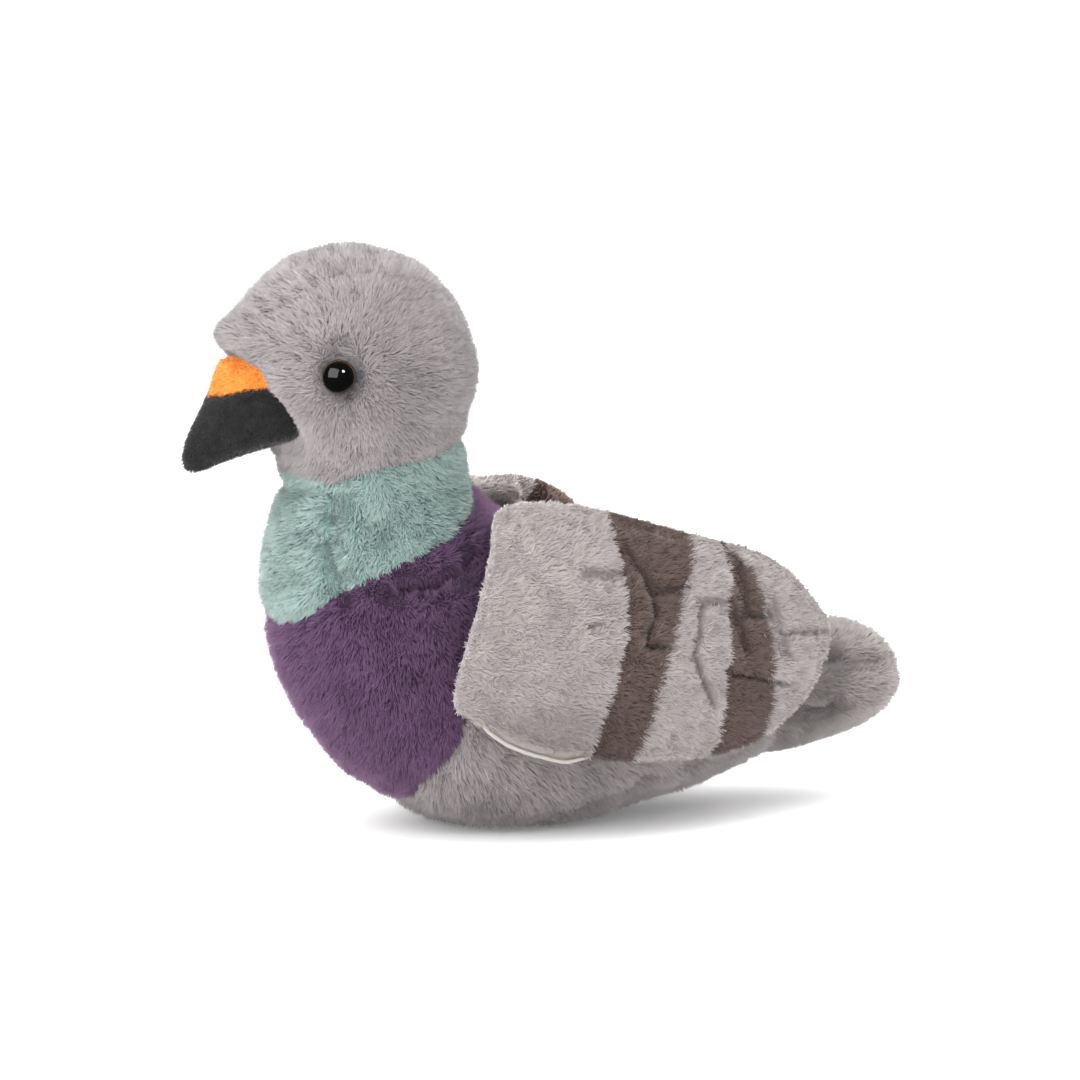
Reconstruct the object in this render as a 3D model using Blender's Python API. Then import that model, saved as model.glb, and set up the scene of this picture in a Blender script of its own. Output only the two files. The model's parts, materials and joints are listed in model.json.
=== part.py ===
"""A stuffed-toy pigeon at its own size, resting on the flat of its belly.

Metres, +Z up. The beak points along -Y and the bird's left side is +X. The floor is
z = 0 and the mirror plane is x = 0. The body is one form that level slices describe
from the belly to the crown, parted by thin cuts where its fabrics meet.
"""

import math

import bmesh
import bpy
from mathutils import Matrix, Vector

GAP = 0.0003  # left between neighbouring pieces
FIT = 0.0004  # how far a form is grown before it is cut out of its neighbour

# Trunk and neck: height, front, widest place, back, half width of a level slice.
BODY_SLICES = (
    (0.0000, -0.0330, -0.0120, 0.0120, 0.0190),
    (0.0040, -0.0460, -0.0120, 0.0310, 0.0310),
    (0.0120, -0.0600, -0.0130, 0.0660, 0.0400),
    (0.0240, -0.0745, -0.0170, 0.0930, 0.0465),
    (0.0420, -0.0880, -0.0210, 0.0970, 0.0510),
    (0.0620, -0.0960, -0.0250, 0.0930, 0.0525),
    (0.0800, -0.0990, -0.0290, 0.0660, 0.0510),
    (0.0950, -0.0980, -0.0370, 0.0160, 0.0455),
    (0.1060, -0.0955, -0.0480, -0.0150, 0.0390),
    (0.1150, -0.0925, -0.0570, -0.0260, 0.0347),
    (0.1230, -0.0915, -0.0620, -0.0285, 0.0340),
)
STEPS_A_SLICE = 3
BODY_POINTS = 40  # round each slice

HEAD_RADIUS = 0.0425
HEAD_CENTRE = Vector((0.0, -0.0675, 0.1540))
HEAD_FROM = math.radians(-34)  # where the ball starts above the neck
HEAD_RINGS = 12
HEAD_POINTED = 1.12  # above 1, the slices narrow to the face
LIP_NARROWNESS = 5
# Swells of the head's front: height, how far up and down each fades, reach.
HEAD_SWELLS = (
    (0.1670, 0.0085, 0.0050, 0.0076),  # the forehead's lip over the beak
    (0.1890, 0.0080, 0.0120, 0.0042),  # the fore crown
    (0.1330, 0.0100, 0.0100, -0.0040),  # the chin, drawn back under the beak
)

# Where the fabrics meet, seen from the side: y, z along each thin cut.
COLLAR_TOP = (
    (-0.1200, 0.1260), (-0.0950, 0.1205), (-0.0890, 0.1155), (-0.0820, 0.1180),
    (-0.0720, 0.1245), (-0.0560, 0.1270), (-0.0400, 0.1310), (0.0000, 0.1360),
)
COLLAR_BOTTOM = (
    (-0.1300, 0.0520), (-0.0980, 0.0690), (-0.0880, 0.0780), (-0.0800, 0.0860),
    (-0.0580, 0.0970), (-0.0430, 0.1050), (-0.0280, 0.1190), (0.0000, 0.1480),
)
BREAST_BACK = (
    (-0.0400, -0.0200), (-0.0480, 0.0060), (-0.0535, 0.0200), (-0.0470, 0.0350),
    (-0.0430, 0.0600), (-0.0370, 0.0820), (-0.0240, 0.0960), (-0.0080, 0.1020),
    (0.0040, 0.1080), (0.0300, 0.1200),
)
CUT_REACH = 0.0900  # half the width of a cut, past the widest slice

# Beak: height, front, widest place, back, half width.
BEAK_SLICES = (
    (0.1628, -0.1110, -0.1000, -0.0900, 0.0125),
    (0.1585, -0.1137, -0.0980, -0.0860, 0.0172),
    (0.1500, -0.1170, -0.0970, -0.0840, 0.0200),
    (0.1410, -0.1213, -0.0960, -0.0840, 0.0208),
    (0.1335, -0.1252, -0.0990, -0.0880, 0.0172),
    (0.1275, -0.1270, -0.1150, -0.1010, 0.0090),
    (0.1235, -0.1262, -0.1220, -0.1160, 0.0040),
)
BEAK_POINTED = 1.3  # above 1, its slices narrow to the front
BEAK_POINTS = 26
BEAK_STEPS = 2
CERE_BOTTOM = ((-0.1500, 0.1440), (-0.1200, 0.1478), (-0.1060, 0.1505), (-0.0800, 0.1540))

# Tail: place, underside, upper side, half width of an upright slice.
TAIL_SLICES = (
    (0.0700, 0.0150, 0.0640, 0.0255),
    (0.0880, 0.0150, 0.0640, 0.0265),
    (0.1040, 0.0180, 0.0630, 0.0275),
    (0.1180, 0.0225, 0.0605, 0.0265),
    (0.1270, 0.0290, 0.0550, 0.0205),
    (0.1300, 0.0360, 0.0480, 0.0110),
)
TAIL_POINTS = 28
TAIL_STEPS = 2

# Wing: a padded flap on a curved shell over the body's side.
WING_SHELL_CENTRE = Vector((0.0, -0.0400, 0.0450))
WING_SHELL_RADII = Vector((0.0605, 0.1650, 0.0900))
WING_CENTRE = (0.0150, 0.0680)
WING_OUTLINE = (
    (0.0300, 0.1025), (-0.0020, 0.1120), (-0.0290, 0.1125), (-0.0400, 0.1000),
    (-0.0500, 0.0800), (-0.0600, 0.0520), (-0.0510, 0.0430), (-0.0260, 0.0310),
    (0.0150, 0.0245), (0.0550, 0.0265), (0.0800, 0.0410), (0.0920, 0.0600),
    (0.0870, 0.0730), (0.0680, 0.0905),
)
WING_STEPS = 3
WING_RINGS = (0.0, 0.35, 0.62, 0.82, 0.94, 1.0)
WING_OUTER = 0.0075  # how far the padding swells outwards
WING_INNER = 0.0020  # and inwards
WING_EDGE = 0.0012  # half thickness of the sewn edge
LINING_THICKNESS = 0.0010
LINING_INSET = 0.985
LINING_RINGS = (0.0, 0.45, 0.80, 1.0)

EYE_RADIUS = 0.0057
EYE_DEPTH = 0.78  # of the radius, along the eye's own axis
EYE_FORWARD = math.radians(28)  # of straight sideways
EYE_RISE = 0.0018
EYE_SUNK = 0.0022

COLOURS = {
    "head": (0.40, 0.37, 0.39), "neck": (0.19, 0.40, 0.38), "breast": (0.12, 0.06, 0.16),
    "trunk": (0.42, 0.39, 0.41), "tail": (0.42, 0.39, 0.41), "wing": (0.46, 0.43, 0.44),
    "lining": (0.72, 0.69, 0.58), "cere": (0.85, 0.30, 0.04), "bill": (0.035, 0.034, 0.038),
    "eye": (0.012, 0.008, 0.006),
}
ROUGHNESS = {"eye": 0.06, "lining": 0.5}


def start():
    """Clears the scene and returns the collections for the parts and the cutters."""
    for thing in list(bpy.data.objects):
        bpy.data.objects.remove(thing)
    made = []
    for name in ("plush_pigeon", "cutters"):
        collection = bpy.data.collections.new(name)
        bpy.context.scene.collection.children.link(collection)
        made.append(collection)
    return made


def material(kind):
    found = bpy.data.materials.get(kind)
    if found:
        return found
    made = bpy.data.materials.new(kind)
    made.use_nodes = True
    shader = made.node_tree.nodes["Principled BSDF"]
    shader.inputs["Base Color"].default_value = (*COLOURS[kind], 1.0)
    shader.inputs["Roughness"].default_value = ROUGHNESS.get(kind, 0.9)
    shader.inputs["Metallic"].default_value = 0.0
    return made


def spline(rows, steps):
    """Rows of numbers on one smooth curve through the given rows, steps to each span."""
    rows = [Vector(row) for row in rows]
    found = []
    for k in range(len(rows) - 1):
        a, b = rows[k], rows[k + 1]
        before = rows[k - 1] if k else a * 2 - b
        after = rows[k + 2] if k + 2 < len(rows) else b * 2 - a
        for s in range(steps):
            t = s / steps
            found.append(0.5 * (2 * a + (b - before) * t
                                + (2 * before - 5 * a + 4 * b - after) * t**2
                                + (3 * a - before - 3 * b + after) * t**3))
    found.append(rows[-1])
    return found


def closed_spline(points, steps):
    points = [Vector(p) for p in points]
    count = len(points)
    wrapped = [points[-1], *points, points[0], points[1]]
    return spline(wrapped, steps)[steps:steps * (count + 1)]


def level_ring(piece, count, grow=0.0, swell=0.0, pointed=1.0):
    """A slice's points, from the front round by the bird's left side."""
    height, front, widest, back, half_width = piece
    ring = []
    for k in range(count):
        angle = math.tau * k / count
        ahead, aside = math.cos(angle), math.sin(angle)
        reach = (widest - front if ahead > 0 else back - widest) + grow
        lip = swell * max(0.0, ahead) ** LIP_NARROWNESS
        if ahead > 0:
            ahead = ahead**pointed
            aside = math.copysign(abs(aside) ** pointed, aside)
        ring.append(Vector(((half_width + grow) * aside, widest - ahead * reach - lip, height)))
    return ring


def upright_ring(piece, count):
    place, low, high, half_width = piece
    middle, half = (low + high) / 2, (high - low) / 2
    return [Vector((half_width * math.cos(a), place, middle + half * math.sin(a)))
            for a in (math.tau * k / count for k in range(count))]


def head_slices():
    """The ball of the head as slices, each with how far its front swells there."""
    found = []
    for k in range(HEAD_RINGS):
        rise = HEAD_FROM + (math.radians(84) - HEAD_FROM) * (k + 1) / HEAD_RINGS
        radius = HEAD_RADIUS * math.cos(rise)
        height = HEAD_CENTRE.z + HEAD_RADIUS * math.sin(rise)
        swell = 0.0
        for middle, above, below, reach in HEAD_SWELLS:
            off = (height - middle) / (above if height > middle else below)
            swell += reach * math.exp(-off * off)
        widest = HEAD_CENTRE.y
        found.append(((height, widest - radius, widest, widest + radius, radius), swell))
    return found


def body_rings(grow=0.0):
    rings = [level_ring(row, BODY_POINTS, grow) for row in spline(BODY_SLICES, STEPS_A_SLICE)]
    rings += [level_ring(row, BODY_POINTS, grow, swell, HEAD_POINTED)
              for row, swell in head_slices()]
    return rings


def side_of_body(y, z):
    """Half width of the trunk at a place on its side, or 0 past its ends."""
    rows = spline(BODY_SLICES, 12)
    for below, above in zip(rows, rows[1:]):
        if below[0] <= z <= above[0]:
            share = (z - below[0]) / (above[0] - below[0])
            _, front, widest, back, half_width = below.lerp(above, share)
            along = (widest - y) / (widest - front) if y < widest else (y - widest) / (back - widest)
            return half_width * math.sqrt(max(0.0, 1 - along * along))
    return 0.0


def finish(thing, kind, collection):
    """Joins doubles, smooths and gives the piece its material and collection."""
    mesh = bmesh.new()
    mesh.from_mesh(thing.data)
    bmesh.ops.remove_doubles(mesh, verts=mesh.verts, dist=0.000002)
    bmesh.ops.recalc_face_normals(mesh, faces=mesh.faces)
    mesh.to_mesh(thing.data)
    mesh.free()
    thing.data.materials.clear()
    thing.data.materials.append(material(kind))
    thing.data.shade_smooth()
    thing.data.set_sharp_from_angle(angle=math.radians(45))
    for old in list(thing.users_collection):
        old.objects.unlink(thing)
    collection.objects.link(thing)
    return thing


def loft(name, rings, ends):
    """A closed form over rings of equally many points, its ends flat or drawn to a point."""
    mesh = bmesh.new()
    rows = [[mesh.verts.new(p) for p in ring] for ring in rings]
    count = len(rows[0])
    for low, high in zip(rows, rows[1:]):
        for k in range(count):
            n = (k + 1) % count
            mesh.faces.new((low[k], low[n], high[n], high[k]))
    for row, end in zip((rows[0], rows[-1]), ends):
        if end is None:
            mesh.faces.new(row)
            continue
        tip = mesh.verts.new(end)
        for k in range(count):
            mesh.faces.new((row[k], row[(k + 1) % count], tip))
    bmesh.ops.recalc_face_normals(mesh, faces=mesh.faces)
    data = bpy.data.meshes.new(name)
    mesh.to_mesh(data)
    mesh.free()
    thing = bpy.data.objects.new(name, data)
    bpy.context.scene.collection.objects.link(thing)
    return thing


def thin_cut(name, line, cutters):
    """A sheet one gap thick, standing on a line seen from the side and crossing the body."""
    points = [Vector(p) for p in spline(line, 4)]
    upper, lower = [], []
    for k, p in enumerate(points):
        along = (points[min(k + 1, len(points) - 1)] - points[max(k - 1, 0)]).normalized()
        aside = Vector((-along.y, along.x)) * GAP / 2
        upper.append(p + aside)
        lower.append(p - aside)
    outline = upper + lower[::-1]
    rings = [[Vector((x, p.x, p.y)) for p in outline] for x in (-CUT_REACH, CUT_REACH)]
    mesh = bmesh.new()
    rows = [[mesh.verts.new(p) for p in ring] for ring in rings]
    count = len(outline)
    for k in range(count):
        n = (k + 1) % count
        mesh.faces.new((rows[0][k], rows[0][n], rows[1][n], rows[1][k]))
    for row in rows:
        for k in range(len(points) - 1):
            mesh.faces.new((row[k], row[k + 1], row[count - 2 - k], row[count - 1 - k]))
    bmesh.ops.recalc_face_normals(mesh, faces=mesh.faces)
    data = bpy.data.meshes.new(name)
    mesh.to_mesh(data)
    mesh.free()
    cutter = bpy.data.objects.new(name, data)
    return as_cutter(cutter, cutters)


def as_cutter(thing, cutters):
    for old in list(thing.users_collection):
        old.objects.unlink(thing)
    cutters.objects.link(thing)
    thing.hide_render = True
    thing.display_type = "WIRE"
    return thing


def cut(thing, *tools):
    """The thing less each of the cutters, worked out at once."""
    for tool in tools:
        less = thing.modifiers.new(tool.name, "BOOLEAN")
        less.operation = "DIFFERENCE"
        less.object = tool
    seen = thing.evaluated_get(bpy.context.evaluated_depsgraph_get())
    data = bpy.data.meshes.new_from_object(seen)
    thing.modifiers.clear()
    thing.data = data
    return thing


def split(thing, names, key):
    """Parts the loose bodies of a mesh into objects, named in order of their middles."""
    source = bmesh.new()
    source.from_mesh(thing.data)
    left, islands = set(source.verts), []
    while left:
        island, todo = set(), [left.pop()]
        while todo:
            vert = todo.pop()
            island.add(vert)
            for edge in vert.link_edges:
                other = edge.other_vert(vert)
                if other in left:
                    left.discard(other)
                    todo.append(other)
        islands.append(island)
    islands.sort(key=lambda verts: key(sum((v.co for v in verts), Vector()) / len(verts)))
    made = []
    for name, island in zip(names, islands, strict=True):
        part = source.copy()
        keep = {v.index for v in island}
        part.verts.ensure_lookup_table()
        drop = [v for v in part.verts if v.index not in keep]
        bmesh.ops.delete(part, geom=drop, context="VERTS")
        data = bpy.data.meshes.new(name)
        part.to_mesh(data)
        part.free()
        made.append(bpy.data.objects.new(name, data))
        bpy.context.scene.collection.objects.link(made[-1])
    source.free()
    bpy.data.objects.remove(thing)
    return made


def make_body(cutters):
    """Head, neck, breast and trunk, parted from one form by thin cuts."""
    crown = HEAD_CENTRE + Vector((0, 0, HEAD_RADIUS))
    whole = loft("body", body_rings(), (None, crown))
    cut(whole, thin_cut("collar_top", COLLAR_TOP, cutters))
    lower, head = split(whole, ("lower", "head"), key=lambda p: p.z)
    cut(lower, thin_cut("collar_bottom", COLLAR_BOTTOM, cutters))
    lower, neck = split(lower, ("lower", "neck"), key=lambda p: p.z)
    cut(lower, thin_cut("breast_back", BREAST_BACK, cutters))
    breast, trunk = split(lower, ("breast", "trunk"), key=lambda p: p.y)
    return head, neck, breast, trunk


def grown_body(cutters):
    crown = HEAD_CENTRE + Vector((0, 0, HEAD_RADIUS + FIT))
    return as_cutter(loft("grown_body", body_rings(FIT), (None, crown)), cutters)


def eye_form(name, side, grow=0.0):
    """A dome flattened along its own axis, set into the head's side."""
    facing = Vector((side * math.cos(EYE_FORWARD), -math.sin(EYE_FORWARD), 0.0))
    out = math.sqrt(HEAD_RADIUS**2 - EYE_RISE**2) - EYE_SUNK
    place = HEAD_CENTRE + Vector((0, 0, EYE_RISE)) + facing * out
    bpy.ops.mesh.primitive_uv_sphere_add(segments=16, ring_count=8, radius=EYE_RADIUS + grow)
    thing = bpy.context.object
    thing.name = name
    flat = Matrix.Diagonal((1, 1, EYE_DEPTH, 1))
    turn = facing.to_track_quat("Z", "Y").to_matrix().to_4x4()
    thing.data.transform(Matrix.Translation(place) @ turn @ flat)
    return thing


def make_beak(body, cutters):
    rows = spline(BEAK_SLICES, BEAK_STEPS)
    rings = [level_ring(row, BEAK_POINTS, pointed=BEAK_POINTED) for row in rows]
    top, tip = rows[0], rows[-1]
    ends = (Vector((0, top[2], top[0] + 0.0012)), Vector((0, tip[2] - 0.0010, tip[0] - 0.0012)))
    beak = cut(loft("beak", rings, ends), body)
    cut(beak, thin_cut("cere_bottom", CERE_BOTTOM, cutters))
    return split(beak, ("bill", "cere"), key=lambda p: p.z)


def make_tail(body):
    rows = spline(TAIL_SLICES, TAIL_STEPS)
    rings = [upright_ring(row, TAIL_POINTS) for row in rows]
    last = rows[-1]
    tip = Vector((0, last[0] + 0.0010, (last[1] + last[2]) / 2))
    return cut(loft("tail", rings, (None, tip)), body)


def shell_at(y, z):
    """How far out the wing's curved shell lies at a place seen from the side."""
    off = (((y - WING_SHELL_CENTRE.y) / WING_SHELL_RADII.y) ** 2
           + ((z - WING_SHELL_CENTRE.z) / WING_SHELL_RADII.z) ** 2)
    return WING_SHELL_RADII.x * math.sqrt(max(0.0, 1 - off))


def wing_layer(side, layer, shares, inset=1.0):
    """Rings of one face of the wing, each a share of the way from its middle to its edge."""
    outline = closed_spline(WING_OUTLINE, WING_STEPS)
    rings = []
    for share in shares:
        ring = []
        for edge in outline:
            y = WING_CENTRE[0] + (edge.x - WING_CENTRE[0]) * share * inset
            z = WING_CENTRE[1] + (edge.y - WING_CENTRE[1]) * share * inset
            swell = math.sqrt(max(0.0, 1 - (share * inset) ** 4))
            ring.append(Vector((side * layer(y, z, swell), y, z)))
        rings.append(ring)
    return rings


def lining_inside(y, z, swell):
    """The lining's face towards the body, which it clears by the gap."""
    return max(shell_at(y, z) - WING_INNER * swell - WING_EDGE, side_of_body(y, z) + FIT)


def lining_outside(y, z, swell):
    return lining_inside(y, z, swell) + LINING_THICKNESS


def wing_inside(y, z, swell):
    return lining_outside(y, z, swell) + GAP


def wing_outside(y, z, swell):
    return wing_inside(y, z, swell) + 2 * WING_EDGE + (WING_OUTER - WING_EDGE) * swell


def sheet_between(name, side, inner, outer, shares, inset=1.0):
    """A closed flap between two faces that share the wing's outline."""
    low = wing_layer(side, inner, shares[1:], inset)
    high = wing_layer(side, outer, shares[1:][::-1], inset)
    middle = [wing_layer(side, face, (0.0,), inset)[0][0] for face in (inner, outer)]
    return loft(name, low + high, middle)


def main():
    parts, cutters = start()
    head, neck, breast, trunk = make_body(cutters)
    body = grown_body(cutters)
    bill, cere = make_beak(body, cutters)
    tail = make_tail(body)
    for thing in (neck, breast, trunk, tail, cere, bill):
        finish(thing, thing.name, parts)
    sockets = []
    for side, word in ((1, "left"), (-1, "right")):
        finish(eye_form(f"eye_{word}", side), "eye", parts)
        sockets.append(as_cutter(eye_form(f"socket_{word}", side, GAP), cutters))
        wing = sheet_between(f"wing_{word}", side, wing_inside, wing_outside, WING_RINGS)
        finish(wing, "wing", parts)
        lining = sheet_between(f"lining_{word}", side, lining_inside, lining_outside,
                               LINING_RINGS, LINING_INSET)
        finish(lining, "lining", parts)
    finish(cut(head, *sockets), "head", parts)


main()
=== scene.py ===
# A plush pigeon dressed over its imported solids: stuffed skins, brushed pile, velour beak,
# plastic eyes, satin wing linings, and a plain studio round it.
import json
import math

import bpy
import numpy as np
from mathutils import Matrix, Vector
from mathutils.bvhtree import BVHTree
from mathutils.kdtree import KDTree

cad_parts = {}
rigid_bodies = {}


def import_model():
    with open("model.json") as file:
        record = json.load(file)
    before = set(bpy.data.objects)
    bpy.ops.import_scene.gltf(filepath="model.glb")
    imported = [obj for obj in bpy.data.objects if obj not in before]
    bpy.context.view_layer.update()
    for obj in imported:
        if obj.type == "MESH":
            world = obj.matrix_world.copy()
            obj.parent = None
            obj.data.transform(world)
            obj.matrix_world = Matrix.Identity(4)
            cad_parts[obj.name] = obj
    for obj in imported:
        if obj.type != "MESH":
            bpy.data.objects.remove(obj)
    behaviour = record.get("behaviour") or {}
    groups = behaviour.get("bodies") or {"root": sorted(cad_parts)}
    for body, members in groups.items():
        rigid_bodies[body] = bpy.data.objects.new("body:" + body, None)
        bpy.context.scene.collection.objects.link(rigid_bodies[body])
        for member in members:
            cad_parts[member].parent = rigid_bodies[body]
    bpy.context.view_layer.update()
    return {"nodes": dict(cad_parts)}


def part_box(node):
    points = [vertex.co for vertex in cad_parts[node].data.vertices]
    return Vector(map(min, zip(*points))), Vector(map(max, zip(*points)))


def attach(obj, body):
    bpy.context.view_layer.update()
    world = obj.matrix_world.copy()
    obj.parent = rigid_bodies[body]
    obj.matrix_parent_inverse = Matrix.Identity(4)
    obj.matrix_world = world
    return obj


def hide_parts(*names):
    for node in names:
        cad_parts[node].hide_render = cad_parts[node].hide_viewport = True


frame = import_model()
sides = {"left": 1, "right": -1}  # and the sign of x on each
print("frame loaded,", len(frame["nodes"]), "nodes")


def pickOnly(*pieces):
    bpy.ops.object.select_all(action="DESELECT")
    for piece in pieces:
        piece.select_set(True)
    bpy.context.view_layer.objects.active = pieces[0]


def useModifier(piece, kind, **settings):
    pickOnly(piece)
    modifier = piece.modifiers.new(kind.lower(), kind)
    for key, value in settings.items():
        setattr(modifier, key, value)
    bpy.ops.object.modifier_apply(modifier=modifier.name)


def remesh(piece, voxel, smoothing):
    useModifier(piece, "REMESH", mode="VOXEL", voxel_size=voxel, use_smooth_shade=True)
    if smoothing:
        useModifier(piece, "SMOOTH", factor=0.5, iterations=smoothing)


def swell(piece, distance):
    useModifier(piece, "DISPLACE", direction="NORMAL", mid_level=0.0, strength=distance)


def editWhole(piece, operator, **settings):
    pickOnly(piece)
    bpy.ops.object.mode_set(mode="EDIT")
    bpy.ops.mesh.select_all(action="SELECT")
    operator(**settings)
    bpy.ops.object.mode_set(mode="OBJECT")


def dress(piece, material):
    pickOnly(piece)
    bpy.ops.object.shade_smooth()
    piece.data.materials.clear()
    piece.data.materials.append(material)


def copyNodes(names, newName):
    # the solids arrive as loose triangles, so the copy is merged before anything else
    twins = []
    for name in names:
        twin = bpy.data.objects.new(newName, frame["nodes"][name].data.copy())
        twin.data.materials.clear()
        bpy.context.scene.collection.objects.link(twin)
        twins.append(twin)
    pickOnly(*twins)
    if len(twins) > 1:
        bpy.ops.object.join()
    piece = bpy.context.view_layer.objects.active
    piece.name = newName
    piece.data.name = newName
    editWhole(piece, bpy.ops.mesh.remove_doubles, threshold=0.00001)
    return piece


def pointsOf(piece):
    points = np.empty(len(piece.data.vertices) * 3, np.float32)
    piece.data.vertices.foreach_get("co", points)
    return points.reshape(-1, 3).astype(float)


def normalsOf(piece):
    normals = np.empty(len(piece.data.vertices) * 3, np.float32)
    piece.data.vertices.foreach_get("normal", normals)
    return normals.reshape(-1, 3).astype(float)


def putPoints(piece, points):
    piece.data.vertices.foreach_set("co", points.astype(np.float32).ravel())
    piece.data.update()


def treeOf(piece):
    corners = [tuple(face.vertices) for face in piece.data.polygons]
    return BVHTree.FromPolygons([vertex.co for vertex in piece.data.vertices], corners)


def unit(vectors):
    return vectors / np.maximum(np.linalg.norm(vectors, axis=1, keepdims=True), 1e-9)


def alongSurface(flow, normals):
    return unit(flow - normals * (flow * normals).sum(axis=1, keepdims=True))


def distanceTo(tree, points):
    return np.array([tree.find_nearest(Vector(p))[3] for p in points])


def isInside(tree, points):
    # a point is inside a closed shell when a line across it meets the shell an odd number of times
    across = Vector((1, 0, 0))
    inside = np.zeros(len(points), bool)
    for i, p in enumerate(points):
        place, crossings = tree.ray_cast(Vector(p), across)[0], 0
        while place is not None:
            crossings += 1
            place = tree.ray_cast(place + across * 1e-6, across)[0]
        inside[i] = crossings % 2 == 1
    return inside


def softNoise(points, size, seed, waves=14):
    # a smooth random field, about -1 to 1, whose lumps are about size across
    rng = np.random.default_rng(seed)
    total = np.zeros(len(points))
    for _ in range(waves):
        direction = unit(rng.normal(size=(1, 3)))[0]
        pace = math.pi / size * rng.uniform(0.6, 1.5)
        total += np.sin(points @ direction * pace + rng.uniform(0, 2 * math.pi))
    return total / math.sqrt(waves)


def ramp(value, low, high):
    t = np.clip((value - low) / (high - low), 0, 1)
    return t * t * (3 - 2 * t)


def nearness(points, spot, reach):
    # 1 at a spot, fading out over the reach
    return np.exp(-((np.linalg.norm(points - spot, axis=1) / reach) ** 2))


def distanceToPath(flat, path):
    # distance of 2D points to an open path of 2D points
    nearest = np.full(len(flat), 1.0)
    for start, end in zip(np.array(path[:-1]), np.array(path[1:])):
        run = end - start
        share = np.clip(((flat - start) @ run) / max(run @ run, 1e-12), 0, 1)
        nearest = np.minimum(nearest, np.linalg.norm(flat - start - share[:, None] * run, axis=1))
    return nearest


def giveNumbers(piece, name, values):
    layer = piece.data.attributes.new(name, "FLOAT", "POINT")
    layer.data.foreach_set("value", values.astype(np.float32))


def giveColours(piece, name, colours):
    layer = piece.data.attributes.new(name, "FLOAT_COLOR", "POINT")
    rgba = np.ones((len(colours), 4), np.float32)
    rgba[:, :3] = colours
    layer.data.foreach_set("color", rgba.ravel())


nodeTrees = {name: treeOf(node) for name, node in frame["nodes"].items()}


def setInputs(node, inputs):
    for socket, value in inputs.items():
        node.inputs[socket].default_value = value
    return node


def newMaterial(name, inputs):
    material = bpy.data.materials.new(name)
    material.use_nodes = True
    nodes = material.node_tree.nodes
    return material, nodes, setInputs(nodes["Principled BSDF"], inputs)


def addNode(nodes, kind, inputs):
    return setInputs(nodes.new("ShaderNode" + kind), inputs)


def wire(source, output, target, socket):
    # feeds one node's output into another node
    target.id_data.links.new(source.outputs[output], target.inputs[socket])


def fibreSurface(nodes, shader, scale, low, high, bump):
    # fine fibre noise in the roughness and the bump
    place = addNode(nodes, "TexCoord", {})
    noise = addNode(nodes, "TexNoise", {"Scale": scale, "Detail": 2.0})
    spread = addNode(nodes, "MapRange", {"To Min": low, "To Max": high})
    lift = addNode(nodes, "Bump", {"Strength": bump, "Distance": 0.0003})
    wire(place, "Object", noise, "Vector")
    wire(noise, "Fac", spread, "Value")
    wire(spread, "Result", shader, "Roughness")
    wire(noise, "Fac", lift, "Height")
    wire(lift, "Normal", shader, "Normal")
    return noise


def attributeNode(nodes, name):
    node = nodes.new("ShaderNodeAttribute")
    node.attribute_name = name
    return node


def mixColours(nodes, share, first, second):
    # mixes two colours, each given as numbers or as a node's output, by a node's Fac
    mix = nodes.new("ShaderNodeMix")
    mix.data_type = "RGBA"
    wire(share, "Fac", mix, "Factor")
    for socket, value in ((mix.inputs[6], first), (mix.inputs[7], second)):
        if isinstance(value, tuple):
            socket.default_value = (*value, 1.0)
        else:
            mix.id_data.links.new(value, socket)
    return mix.outputs[2]


def colourBy(nodes, shader, colour, source, output):
    # the base colour is this colour, made lighter and darker by a node's output
    value = nodes.new("ShaderNodeHueSaturation")
    wire(source, output, value, "Value")
    value.id_data.links.new(colour, value.inputs["Color"])
    wire(value, "Color", shader, "Base Color")


def mottled(name, inputs, fibres, first, second):
    # a plain cloth or paper between two colours
    material, nodes, shader = newMaterial(name, inputs)
    noise = fibreSurface(nodes, shader, *fibres)
    mixed = mixColours(nodes, noise, first, second)
    shader.id_data.links.new(mixed, shader.inputs["Base Color"])
    return material


def pileMaterial(name, colours, barColours=None, sheen=0.25, sheenTint=(1.0, 1.0, 1.0)):
    # each tuft is darker at its root, partly as painted self-shade, and frosted at its tip, and has a tint
    # of its own that also carries painted shade and painted light
    material, nodes, shader = newMaterial(name, {
        "Sheen Weight": sheen, "Sheen Roughness": 0.45, "Sheen Tint": (*sheenTint, 1.0),
        "Specular IOR Level": 0.2})
    fibreSurface(nodes, shader, 1800.0, 0.7, 0.95, 0.2)
    along = attributeNode(nodes, "along")
    colour = mixColours(nodes, along, *colours)
    if barColours:
        brown = mixColours(nodes, along, *barColours)
        colour = mixColours(nodes, attributeNode(nodes, "bar"), colour, brown)
    colourBy(nodes, shader, colour, attributeNode(nodes, "tint"), "Fac")
    return material


def backingMaterial(name):
    # the knitted backing that the pile is rooted in, in the same colours as the pile, with painted shade
    # in its creases
    material, nodes, shader = newMaterial(name, {"Sheen Weight": 0.2, "Specular IOR Level": 0.15})
    noise = fibreSurface(nodes, shader, 900.0, 0.85, 1.0, 0.5)
    shade = addNode(nodes, "MapRange", {"To Min": 0.75, "To Max": 1.1})
    wire(noise, "Fac", shade, "Value")
    colourBy(nodes, shader, attributeNode(nodes, "backing").outputs["Color"], shade, "Result")
    return material
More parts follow.
